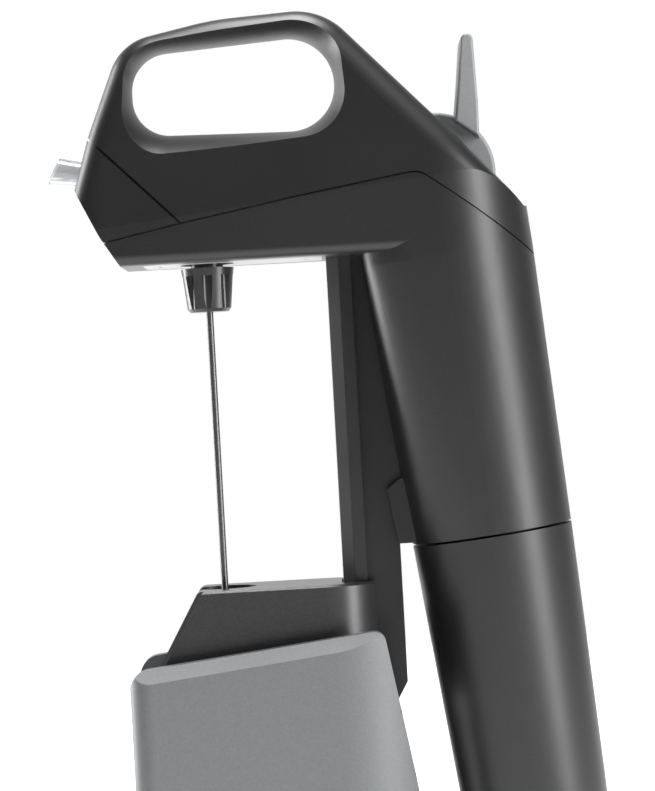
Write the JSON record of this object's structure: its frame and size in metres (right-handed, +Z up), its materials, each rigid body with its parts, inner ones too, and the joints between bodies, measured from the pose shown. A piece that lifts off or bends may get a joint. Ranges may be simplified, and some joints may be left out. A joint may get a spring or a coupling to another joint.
{
  "type": "needle wine pourer",
  "caption": "Hand-held wine preserver: a clamp grips a bottle neck while a looped housing slides down and drives a hollow needle through the cork; gas capsule in the slanted handle.",
  "frame": {"origin": "on the needle axis, in the plane where the clamp stops on the bottle's lip", "axes": "+Z up along the needle, +X from the spout towards the handle, +Y to the far side"},
  "size_m": [0.1155, 0.051, 0.2087],
  "materials": {
    "black_plastic": "satin, fine grain",
    "grey_plastic": "satin, fine grain",
    "hub_plastic": "semi-gloss",
    "plate_plastic": "smooth",
    "liner_plastic": "smooth",
    "clear_plastic": "clear",
    "steel": "ground",
    "spring_steel": "drawn wire",
    "brass": "turned",
    "rubber": "matte"
  },
  "bodies": {
    "clamp": {"clamp_base": "black_plastic", "near_rail_liner": "liner_plastic", "far_rail_liner": "liner_plastic", "needle_guide": "hub_plastic", "needle_wiper": "rubber", "lip_gasket": "rubber", "near_hinge_pin": "steel", "far_hinge_pin": "steel", "near_wing_spring": "spring_steel", "far_wing_spring": "spring_steel"},
    "housing": {"upper_shell": "black_plastic", "lower_shell": "black_plastic", "nose_cap": "black_plastic", "underside_plate": "plate_plastic", "underside_screw_front": "steel", "underside_screw_rear": "steel", "spout": "clear_plastic", "spout_seal": "rubber", "wine_tube": "clear_plastic", "needle_socket": "brass", "gas_tube": "steel", "valve_body": "brass", "valve_spring": "spring_steel", "regulator_body": "brass", "regulator_piston": "steel", "regulator_spring": "spring_steel", "piercing_pin": "steel", "capsule_seal": "rubber", "trigger_bracket": "steel", "trigger_pin": "steel", "cup_thread_ring": "brass", "guide_rail": "black_plastic", "rail_bracket": "black_plastic"},
    "trigger": {"trigger_lever": "grey_plastic"},
    "valve": {"valve_stem": "brass", "stem_seal_ring": "rubber"},
    "capsule": {"gas_capsule": "steel"},
    "cup": {"capsule_cup": "black_plastic", "cup_thread_insert": "brass", "cup_cushion": "rubber"},
    "needle": {"needle_tube": "steel"},
    "hub": {"needle_hub": "hub_plastic", "hub_seal_ring": "rubber"},
    "near_wing": {"near_wing": "grey_plastic", "near_grip_pad": "rubber"},
    "far_wing": {"far_wing": "grey_plastic", "far_grip_pad": "rubber"}
  },
  "joints": [
    {"name": "needle_stroke", "type": "slide", "parent": "clamp", "child": "housing", "axis": [0, 0, -1], "range_m": [0, 0.058]},
    {"name": "trigger_pivot", "type": "hinge", "parent": "housing", "child": "trigger", "pos_m": [0.0504, 0, 0.117], "axis": [0, -1, 0], "range_deg": [0, 15], "stiffness_Nm_per_rad": 0.4, "springref_deg": -5.73},
    {"name": "valve_push", "type": "slide", "parent": "housing", "child": "valve", "axis": [0.1045, 0, -0.9945], "range_m": [0, 0.0018], "deforming": ["valve_spring"]},
    {"name": "cup_turn", "type": "hinge", "parent": "capsule", "child": "cup", "pos_m": [0.06294, 0, -0.00234], "axis": [0.1045, 0, -0.9945], "range_deg": [0, 920]},
    {"name": "capsule_advance", "type": "slide", "parent": "housing", "child": "capsule", "axis": [0.1045, 0, -0.9945], "range_m": [0, 0.00625]},
    {"name": "hub_turn", "type": "hinge", "parent": "needle", "child": "hub", "pos_m": [0, 0, 0.095], "axis": [0, 0, -1], "range_deg": [0, 740]},
    {"name": "needle_advance", "type": "slide", "parent": "housing", "child": "needle", "axis": [0, 0, -1], "range_m": [0, 0.002]},
    {"name": "near_wing_pivot", "type": "hinge", "parent": "clamp", "child": "near_wing", "pos_m": [0, -0.0195, 0.003], "axis": [-1, 0, 0], "range_deg": [0, 14], "stiffness_Nm_per_rad": 1.2, "springref_deg": -8.59},
    {"name": "far_wing_pivot", "type": "hinge", "parent": "clamp", "child": "far_wing", "pos_m": [0, 0.0195, 0.003], "axis": [1, 0, 0], "range_deg": [0, 14], "stiffness_Nm_per_rad": 1.2, "springref_deg": -8.59}
  ],
  "couplings": [
    {"joint": "valve_push", "follows": "trigger_pivot", "m_per_rad": 0.0063},
    {"joint": "cup_turn", "follows": "capsule_advance", "rad_per_m": 2513.3},
    {"joint": "hub_turn", "follows": "needle_advance", "rad_per_m": 6283.2}
  ]
}
